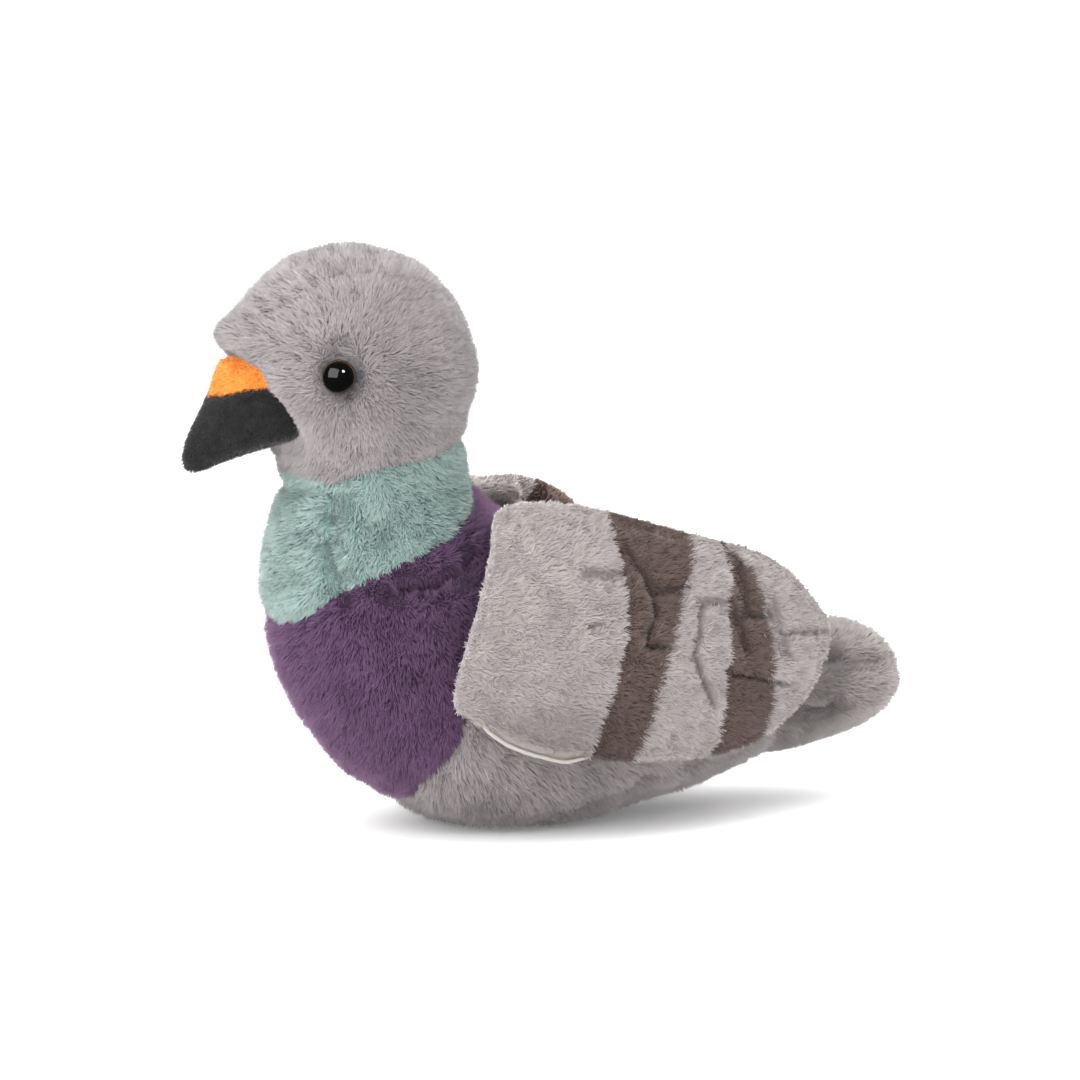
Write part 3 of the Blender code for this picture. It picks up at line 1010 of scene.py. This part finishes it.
def growCoat(name, sown, plan, flow, material, height=None, shade=1.0, numbers=None):
    rng = np.random.default_rng(plan["seed"])
    root, normal = sown["root"], sown["normal"]
    count = len(root)
    height = np.ones(count) if height is None else height
    stray = rng.normal(size=(count, 3)) * plan["stray"]
    ruffle = np.stack([softNoise(root, plan["ruffleSize"], plan["seed"] + 50 + axis)
                       for axis in range(3)], axis=1)
    strength = np.clip(np.linalg.norm(flow, axis=1), *flowLimits)
    way = alongSurface(flow + stray + ruffle * plan["ruffle"], normal)
    side = np.cross(normal, way)
    patchy = softNoise(root, plan["patch"], plan["seed"] + 1)
    length = plan["length"] * height * rng.uniform(1 - plan["uneven"], 1 + plan["uneven"], count)
    length *= 1 + plan["patchLong"] * patchy
    fly = rng.random(count) < plan["fly"]
    length[fly] *= plan["flyLong"]
    scatter = plan["leanSpread"] * rng.normal(size=count)
    waves = plan["leanWaves"] * softNoise(root, plan["patch"] * 0.6, plan["seed"] + 2)
    tilt = np.radians(plan["lean"] * (0.55 + 0.45 * strength) + scatter + waves)
    tilt = np.clip(tilt, *tiltLimits)
    tip = root + (normal * np.cos(tilt)[:, None] + way * np.sin(tilt)[:, None]) * length[:, None]
    tip = gatherTips(tip, root, plan["wisp"], plan["gather"], plan["seed"] + 3)
    width = plan["width"] / 2 * rng.uniform(*widthLimits, count)
    width[fly] *= plan["flyThin"]
    turn = rng.uniform(0, 2 * math.pi, count)
    sunk = root - normal * rooted
    foot = []
    for step in range(3):
        angle = turn + step * 2 * math.pi / 3
        spread = side * np.cos(angle)[:, None] + way * np.sin(angle)[:, None]
        foot.append(sunk + spread * width[:, None])
    points = np.stack([*foot, tip], axis=1).reshape(-1, 3)
    points[:, 2] = np.maximum(points[:, 2], pressed)
    pattern = np.array([(0, 1, 2), (0, 3, 1), (1, 3, 2), (2, 3, 0)])
    corners = (np.arange(count)[:, None, None] * 4 + pattern).reshape(-1)
    piece = meshFromArrays(name, points, corners)
    own = normalsOf(piece)
    soft = unit(np.repeat(normal, 4, axis=0) * plan["soft"] + own * (1 - plan["soft"]))
    piece.data.normals_split_custom_set_from_vertices(soft.astype(np.float32))
    giveNumbers(piece, "along", np.tile((0.0, 0.0, 0.0, 1.0), count))
    # the tint is each tuft's own random tone times the painted shade and painted light that it is given
    tint = shade * (1 + plan["tint"] * rng.normal(size=count) + plan["tintPatch"] * patchy)
    giveNumbers(piece, "tint", np.repeat(np.clip(tint, *tintLimits), 4))
    for key, values in (numbers or {}).items():
        giveNumbers(piece, key, np.repeat(values, 4))
    half = bakePatch / 2
    spots = np.array(((-half, 0), (0, half), (0, -half), (half, 0)))
    places = (sown["place"][:, None, :] + spots).reshape(-1, 2)
    layer = piece.data.uv_layers.new(name="OFBake")
    layer.data.foreach_set("uv", places[corners].astype(np.float32).ravel())
    piece.data.materials.append(material)
    return piece


def meshFromArrays(name, points, corners):
    mesh = bpy.data.meshes.new(name)
    mesh.vertices.add(len(points))
    mesh.vertices.foreach_set("co", points.astype(np.float32).ravel())
    mesh.loops.add(len(corners))
    mesh.loops.foreach_set("vertex_index", corners.astype(np.int32))
    mesh.polygons.add(len(corners) // 3)
    mesh.polygons.foreach_set("loop_start", np.arange(0, len(corners), 3, dtype=np.int32))
    mesh.update(calc_edges=True)
    mesh.polygons.foreach_set("use_smooth", np.ones(len(corners) // 3, bool))
    piece = bpy.data.objects.new(name, mesh)
    bpy.context.scene.collection.objects.link(piece)
    return piece


# pile: tufts on a square millimetre, their length and width, and how they lie, in degrees
basePile = {"density": 4.3, "length": 0.0040, "width": 0.0006, "lean": 31,
            "leanSpread": 10, "leanWaves": 7, "uneven": 0.12, "stray": 0.35,
            "ruffle": 0.6, "ruffleSize": 0.0028, "patch": 0.009,
            "wisp": 0.15, "gather": 0.25, "tint": 0.05, "tintPatch": 0.05,
            "patchLong": 0.08,  # how much longer the pile is in some patches
            "fly": 0.08,  # the share of fine fibres that stand out of the pile,
            "flyLong": 1.3,  # and how long
            "flyThin": 0.4,  # and thin they are
            "soft": 0.82}  # how far a tuft takes the light as the surface under it does
coatPlans = {
    "head": dict(basePile, tint=0.07, tintPatch=0.05, seed=101),
    "neck": dict(basePile, lean=34, ruffle=0.7, tintPatch=0.07, seed=202),
    "breast": dict(basePile, density=3.7, lean=30, tint=0.09, soft=0.7, seed=303),
    "trunk": dict(basePile, density=2.9, length=0.0043, gather=0.4, tint=0.08, tintPatch=0.08,
                  soft=0.7, seed=404),
    "tail": dict(basePile, density=3.4, length=0.0034, seed=505),
    "wing": dict(basePile, density=4.2, length=0.0025, width=0.00055, lean=42, patch=0.006,
                 stray=0.45, ruffle=0.8, ruffleSize=0.0024, wisp=0.12, gather=0.32, seed=606),
    "nap": dict(basePile, density=6.0, length=0.0013, width=0.00036, lean=42, uneven=0.35,
                ruffle=0.5, patch=0.0011, tintPatch=0.2, wisp=0.3, gather=0.1, tint=0.45,
                fly=0.04, soft=0.35, seed=707),
}
fringe = {
    "overlap": 0.003,  # coats of one colour are unwrapped this far over the line they meet at
    "seamShort": 0.35,  # the pile is this much shorter at a seam,
    "seamReach": 0.005,
    "eyeClear": 0.0055,  # no tuft is rooted this near the middle of an eye
    "eyeShort": 0.0110,  # the pile is shorter this near it,
    "eyeCut": 0.4,  # by this share at most
    # painted shade in a ring just outside the clear middle of each eye, over this reach
    "eyeShade": 0.22,
    "eyeShadeReach": 0.0022,
    # painted shade in the thread dimple above each eye
    "dimpleShade": 0.3,
    "underWing": 0.0060,
    "wingGap": 0.0058,
    "wingShade": 0.3,  # painted shade on the pile just under the wings
    "wingShadeReach": 0.0095,
    "tailShade": (-0.30, 0.10),  # and painted shade at the tail's start, and painted light at its end,
    "tailShadeAt": (0.095, 0.122),  # which are at these y
    "wingRim": 0.0034,  # the pile wraps this far round a wing's rim,
    "topRim": 0.0110,  # farther along its upper front,
    "rimBrush": 0.7,  # and lies across it,
    "rimShort": 0.5,  # and is this much shorter there
    "rimReach": 0.006,
    "wrapAll": 0.0080,  # where the pile wraps farther than this, the inner side has it too
    "foldDeep": 0.002,
    "foldShort": 0.6,
    # painted shade on the pile in the folds
    "foldShade": 0.30,
    "stripSides": (0.014, 0.028),  # the strip over the crown fades out over these x
    "stripFrom": (0.150, 0.166),  # and in over these heights,
    "parting": -0.062,  # and its pile parts at this y
    "partingReach": 0.012,
    "headLean": np.array((0.0, 0.15, -0.05)),
    "crownShade": 0.17,  # painted light on the pile along the crown, from these heights up,
    "crownFrom": (0.168, 0.186),
    "lowShade": 0.34,  # and painted shade on the lower front of the wings,
    "lowUnder": (0.032, 0.062),  # under these heights
    "lowBefore": (-0.020, 0.020),  # and before these y
    # the x of the normals on a wing's outer side, round its rim, and over its roll
    "outerFacing": -0.15,
    "rimFacing": -0.9,
    "rollFacing": (-0.2, 0.3),
    "rollRise": 0.9,  # where the plush rolls over a wing's top it stands this far upwards,
    "rollShade": 0.8,  # and has this much painted light
    # the pile is shorter in the sewn grooves, with painted shade in them
    "grooveShort": 0.4,
    "grooveShade": 0.42,
    "grooveReach": 0.0022,
    # painted shade on the backing in the creases
    "creaseShade": 0.35,
    "napClear": 0.0005,  # the beak has no nap this near the skin
    "beakReach": 0.0055,
    "beakShort": 0.75,
    "beakBrush": 1.2,
    "beakFlow": np.array((0, 0.6, 0.8)),
    "browLong": 0.1,
    "browFlow": np.array((0, -3.0, 0.2)),
}
skinTree = treeOf(skin)
foldsOnSkin = layFolds(skinTree)
beakTrees = [treeOf(piece) for piece in beak.values()]


def foldNearness(points):
    # 1 in the folds that are deep enough to shorten the pile and give it painted shade
    return np.clip(foldPull(points, foldsOnSkin) / fringe["foldDeep"], 0, 1)


def hiddenByWing(points):
    hidden = np.zeros(len(points), bool)
    for side, sign in sides.items():
        close = distanceTo(nodeTrees["lining_" + side], points) < fringe["wingGap"]
        hidden |= close & (rimDepth(points, side) > fringe["underWing"])
    return hidden


def fromEye(points):
    # each point's offset from the eye on its own side
    centre = np.array(eyeCentres["left"])
    offset = points * 1.0
    turned = np.sign(points[:, :1] + 1e-9)
    offset[:, :1] *= turned
    offset -= centre
    near = np.linalg.norm(offset, axis=1)
    offset[:, :1] *= turned
    return offset, near


def crownStrip(root):
    aside = ramp(np.abs(root[:, 0]), *fringe["stripSides"])
    return (1 - aside) * ramp(root[:, 2], *fringe["stripFrom"])


def headFlow(root):
    # the pile spreads away from the eye, and along the strip over the crown
    offset, near = fromEye(root)
    strip = crownStrip(root)
    crown = np.zeros_like(root)
    crown[:, 1] = np.tanh((root[:, 1] - fringe["parting"]) / fringe["partingReach"])
    return unit(offset) * (1 - strip)[:, None] + crown * strip[:, None] + fringe["headLean"]


def steadyFlow(*way):
    return lambda root: np.tile(np.array(way, float), (len(root), 1))


coatFlows = {
    "head": headFlow,
    "neck": steadyFlow(0, 0.3, -1),
    "breast": steadyFlow(0, 0.5, -1),
    "trunk": steadyFlow(0, 1, -0.35),
    "tail": steadyFlow(0, 1, -0.15),
    "wing": steadyFlow(0, 1, -0.3),
}


def bodyCoat(coat, part, choose):
    # one coat piece, rooted where choose says, on the faces that its own part of the skin has
    plan = coatPlans[coat]
    group = coatNames.index("trunk" if coat == "tail" else coat)
    points = pointsOf(skin)
    wanted = (skinCoat == group) & choose(points, fringe["overlap"])
    faces = np.array([wanted[list(face.vertices)].any() for face in skin.data.polygons])
    sown = sowRoots(skin, faces, plan["density"], plan["seed"] + len(part))
    away = np.stack([carry(sown, column) for column in skinDistances.T], axis=1)
    root = sown["root"]
    kept = (away.argmin(axis=1) == group) & choose(root, 0.0)
    kept &= fromEye(root)[1] > fringe["eyeClear"]
    for tree in beakTrees:
        kept &= ~isInside(tree, root)
    kept &= ~hiddenByWing(root)
    sown = keepRoots(sown, kept)
    root, away = sown["root"], np.sort(away[kept], axis=1)[:, 1]
    height = 1 - fringe["seamShort"] + fringe["seamShort"] * ramp(away, 0.0, fringe["seamReach"])
    pulled = foldNearness(root)
    offset, near = fromEye(root)
    eyeward = fringe["eyeCut"] * ramp(near, fringe["eyeClear"], fringe["eyeShort"])
    height *= 1 - fringe["eyeCut"] + eyeward
    height *= 1 - fringe["foldShort"] * pulled
    flow = coatFlows[coat](root)
    fromBeak = np.min([distanceTo(tree, root) for tree in beakTrees], axis=0)
    nearBeak = 1 - ramp(fromBeak, 0, fringe["beakReach"])
    height *= 1 - fringe["beakShort"] * nearBeak
    flow = flow + fringe["beakBrush"] * nearBeak[:, None] * fringe["beakFlow"]
    brow = nearness(root, skinPlan["browSpot"], skinPlan["browReach"])
    height *= 1 + fringe["browLong"] * brow
    flow = flow + brow[:, None] * fringe["browFlow"]
    name = "coat_" + coat + part
    # painted shade in a ring round the eye
    ring = (near - fringe["eyeClear"]) / fringe["eyeShadeReach"]
    shade = 1 - fringe["eyeShade"] * np.exp(-(ring**2))
    leftward = offset * np.where(root[:, :1] < 0, (-1, 1, 1), (1, 1, 1))
    dimple = nearness(leftward, skinPlan["dimple"], skinPlan["dimpleReach"])
    # painted shade in the folds
    shade -= fringe["foldShade"] * pulled
    # painted shade on the pile just under the wings
    for wing in sides:
        under = distanceTo(nodeTrees["lining_" + wing], root) / fringe["wingShadeReach"]
        shade -= fringe["wingShade"] * np.exp(-(under**2))
    # painted shade in the dimple above the eye
    shade -= fringe["dimpleShade"] * dimple
    # painted light along the crown strip
    if coat == "head":
        high = ramp(root[:, 2], *fringe["crownFrom"])
        shade += fringe["crownShade"] * crownStrip(root) * high
    # painted shade at the tail's start and painted light at its end
    if coat == "tail":
        shade += np.interp(root[:, 1], fringe["tailShadeAt"], fringe["tailShade"])
    return growCoat(name, sown, plan, flow, piles[coat], height, shade)


def onSide(sign):
    return lambda points, slack: points[:, 0] * sign > -slack


def alongBody(low, high):
    return lambda points, slack: (points[:, 1] > low - slack) & (points[:, 1] <= high + slack)


def both(first, second):
    return lambda points, slack: first(points, slack) & second(points, slack)


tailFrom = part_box("tail")[0].y
bodyCoats = [
    bodyCoat("head", "_left", onSide(1)),
    bodyCoat("head", "_right", onSide(-1)),
    bodyCoat("neck", "", alongBody(-1, 1)),
    bodyCoat("breast", "", alongBody(-1, 1)),
    bodyCoat("trunk", "_left", both(onSide(1), alongBody(-1, tailFrom))),
    bodyCoat("trunk", "_right", both(onSide(-1), alongBody(-1, tailFrom))),
    bodyCoat("tail", "", alongBody(tailFrom, 1)),
]
print("body coats grown:", sum(len(piece.data.polygons) for piece in bodyCoats), "faces")


def inBars(points, ragged=0.0):
    # which points of a wing lie in its brown bars, which sweep back over the right wing's top
    swept = barPlan["sweep"] * (points[:, 0] < 0) * ramp(points[:, 2], *barPlan["sweepOver"])
    y = points[:, 1] + ragged - swept
    edges = {
        name: np.interp(points[:, 2], barPlan["heights"], barPlan[name])
        for name in ("firstFront", "firstRear", "secondFront", "secondRear")
    }
    soft = y + ragged * barPlan["softRear"]
    first = (y > edges["firstFront"]) & (soft < edges["firstRear"])
    return first | ((y > edges["secondFront"]) & (soft < edges["secondRear"]))


def grooveNearness(points):
    return 1 - ramp(grooveAway(points), 0, fringe["grooveReach"])


def wingCoat(side, sign):
    plan = dict(coatPlans["wing"], seed=coatPlans["wing"]["seed"] + (sign < 0))
    pad = wingPads[side]
    facing = normalsOf(pad)[:, 0] * sign
    depth = rimDepth(pointsOf(pad), side)
    wrap = fringe["wingRim"] + (fringe["topRim"] - fringe["wingRim"]) * topFront(pointsOf(pad))
    wrapped = (depth < wrap) & ((facing > fringe["rimFacing"]) | (wrap > fringe["wrapAll"]))
    outward = (facing > fringe["outerFacing"]) | wrapped
    faces = np.array([outward[list(face.vertices)].all() for face in pad.data.polygons])
    sown = sowRoots(pad, faces, plan["density"], plan["seed"])
    root = sown["root"]
    rng = np.random.default_rng(plan["seed"] + 9)
    bar = inBars(root, rng.normal(0, barPlan["ragged"], len(root))).astype(float)
    sewn = grooveNearness(root)
    depth = rimDepth(root, side)
    atRim = 1 - ramp(depth, 0.0, fringe["rimReach"])
    height = (1 - fringe["grooveShort"] * sewn) * (1 - fringe["rimShort"] * atRim)
    flow = coatFlows["wing"](root)
    rimness = fringe["rimBrush"] * (1 - ramp(depth, 0.001, fringe["rimReach"]))
    flow = flow + rimness[:, None] * np.array((sign, 0, 0))
    # painted shade in the sewn grooves
    shade = 1 - fringe["grooveShade"] * sewn
    # painted shade on the lower front of the wing
    low = 1 - ramp(root[:, 2], *fringe["lowUnder"])
    low *= 1 - ramp(root[:, 1], *fringe["lowBefore"])
    shade -= fringe["lowShade"] * low
    # painted light where the plush rolls over the wing's top
    rolled = topFront(root) * ramp(-sown["normal"][:, 0] * sign, *fringe["rollFacing"])
    sown["normal"] = unit(sown["normal"] + fringe["rollRise"] * rolled[:, None] * np.array((0, 0, 1)))
    shade += fringe["rollShade"] * rolled
    return growCoat("coat_wing_" + side, sown, plan, flow, piles["wing"], height, shade,
                    numbers={"bar": bar})


wingCoats = {side: wingCoat(side, sign) for side, sign in sides.items()}
print("wing coats grown")


def napCoat(name):
    plan = dict(coatPlans["nap"], seed=coatPlans["nap"]["seed"] + len(name))
    piece = beak[name]
    outside = distanceTo(skinTree, pointsOf(piece)) > fringe["napClear"]
    outside &= ~isInside(skinTree, pointsOf(piece))
    faces = np.array([outside[list(face.vertices)].all() for face in piece.data.polygons])
    sown = sowRoots(piece, faces, plan["density"], plan["seed"])
    flow = steadyFlow(0, -0.5, -1)(sown["root"])
    return growCoat("nap_" + name, sown, plan, flow, piles[name])


naps = {name: napCoat(name) for name in beak}
print("beak nap grown")


def shadedRoots(names, which, crease):
    # the backing has the pile's root colours, with painted shade in the creases
    colours = np.array([pileColours[name][0] for name in names])[which]
    return colours * (1 - fringe["creaseShade"] * crease)[:, None]


giveColours(skin, "backing", shadedRoots(coatNames, skinCoat, foldNearness(pointsOf(skin))))
for pad in wingPads.values():
    points = pointsOf(pad)
    brown = inBars(points).astype(int)
    giveColours(pad, "backing", shadedRoots(("wing", "bar"), brown, grooveNearness(points)))
for name, piece in beak.items():
    whole = np.array(pileColours[name]).mean(axis=0)
    giveColours(piece, "backing", np.tile(whole, (len(piece.data.vertices), 1)))
for piece in (skin, *wingPads.values(), *beak.values()):
    dress(piece, backing)

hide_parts(*skinPlan["parts"])
for side in sides:
    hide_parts("wing_" + side)
    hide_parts("lining_" + side)
    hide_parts("eye_" + side)
for name, slot in (("cere", "orange_velour"), ("bill", "charcoal_velour")):
    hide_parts(name)
everything = [skin, *wingPads.values(), *linings.values(), *beak.values(), *eyes.values(),
              *bodyCoats, *wingCoats.values(), *naps.values()]
for piece in everything:
    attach(piece, "root")
print("pieces ride on the body:", len(everything))


# the camera, the lights and the table
studio = {
    "azimuth": 66,
    "elevation": 8,
    "distance": 2.0,
    "aim": (0, 0, 0.0935),
    "lens": 200,
    "floor": 60,
    "softbox": {"size": (1.3, 1.1), "power": 14, "azimuth": 28, "elevation": 24, "distance": 1.3},
    "spark": {"size": 0.36, "power": 9.0, "azimuth": 88, "elevation": 34, "distance": 1.4},
    "sky": (0.50, 3.6),  # how bright the room is at the floor's edge and overhead
    "glossSky": 0.05,
    "floorGlow": 0.15,  # the white table is lit a little from below
}


def around(azimuth, elevation, distance):
    turn, rise = math.radians(azimuth), math.radians(elevation)
    back = Vector((math.sin(turn) * math.cos(rise), -math.cos(turn) * math.cos(rise), math.sin(rise)))
    return Vector(studio["aim"]) + back * distance, back


def addLight(name, plan, shape):
    place, back = around(plan["azimuth"], plan["elevation"], plan["distance"])
    bpy.ops.object.light_add(type="AREA", location=place)
    light = bpy.context.object
    light.name = name
    light.rotation_euler = back.to_track_quat("Z", "Y").to_euler()
    light.data.shape = shape
    light.data.energy = plan["power"]
    if shape == "RECTANGLE":
        light.data.size, light.data.size_y = plan["size"]
    else:
        light.data.size = plan["size"]
    return light


def makeStudio():
    bpy.ops.object.select_all(action="DESELECT")
    bpy.ops.mesh.primitive_plane_add(size=studio["floor"], location=(0, 0, -0.0002))
    floor = bpy.context.object
    floor.name = "floor"
    glow = {"Emission Color": (1.0, 1.0, 1.0, 1.0), "Emission Strength": studio["floorGlow"]}
    paper = mottled("pale_paper", glow, (40.0, 0.85, 0.95, 0.02), (0.94,) * 3, (0.96,) * 3)
    floor.data.materials.append(paper)
    floor.visible_glossy = False
    world = bpy.data.worlds.new("studio")
    world.use_nodes = True
    # the room is brighter overhead, and gloss sees a darker one
    nodes = world.node_tree.nodes
    sky = setInputs(nodes["Background"], {"Color": (1.0, 1.0, 1.0, 1.0)})
    low, high = studio["sky"]
    place = addNode(nodes, "TexCoord", {})
    split = addNode(nodes, "SeparateXYZ", {})
    fill = addNode(nodes, "MapRange", {"From Min": 0.3, "To Min": low, "To Max": high})
    rays = addNode(nodes, "LightPath", {})
    dim = addNode(nodes, "MapRange", {"To Max": studio["glossSky"]})
    wire(place, "Generated", split, "Vector")
    wire(split, "Z", fill, "Value")
    wire(fill, "Result", dim, "To Min")
    wire(rays, "Is Glossy Ray", dim, "Value")
    wire(dim, "Result", sky, "Strength")
    bpy.context.scene.world = world
    addLight("softbox", studio["softbox"], "RECTANGLE")
    addLight("spark", studio["spark"], "DISK").visible_diffuse = False
    place, back = around(studio["azimuth"], studio["elevation"], studio["distance"])
    bpy.ops.object.camera_add(location=place, rotation=back.to_track_quat("Z", "Y").to_euler())
    camera = bpy.context.object
    camera.data.lens = studio["lens"]
    camera.data.sensor_width = 36
    camera.data.clip_end = 200
    bpy.context.scene.camera = camera
    bpy.context.scene.view_settings.view_transform = "Standard"


makeStudio()
print("studio lit")
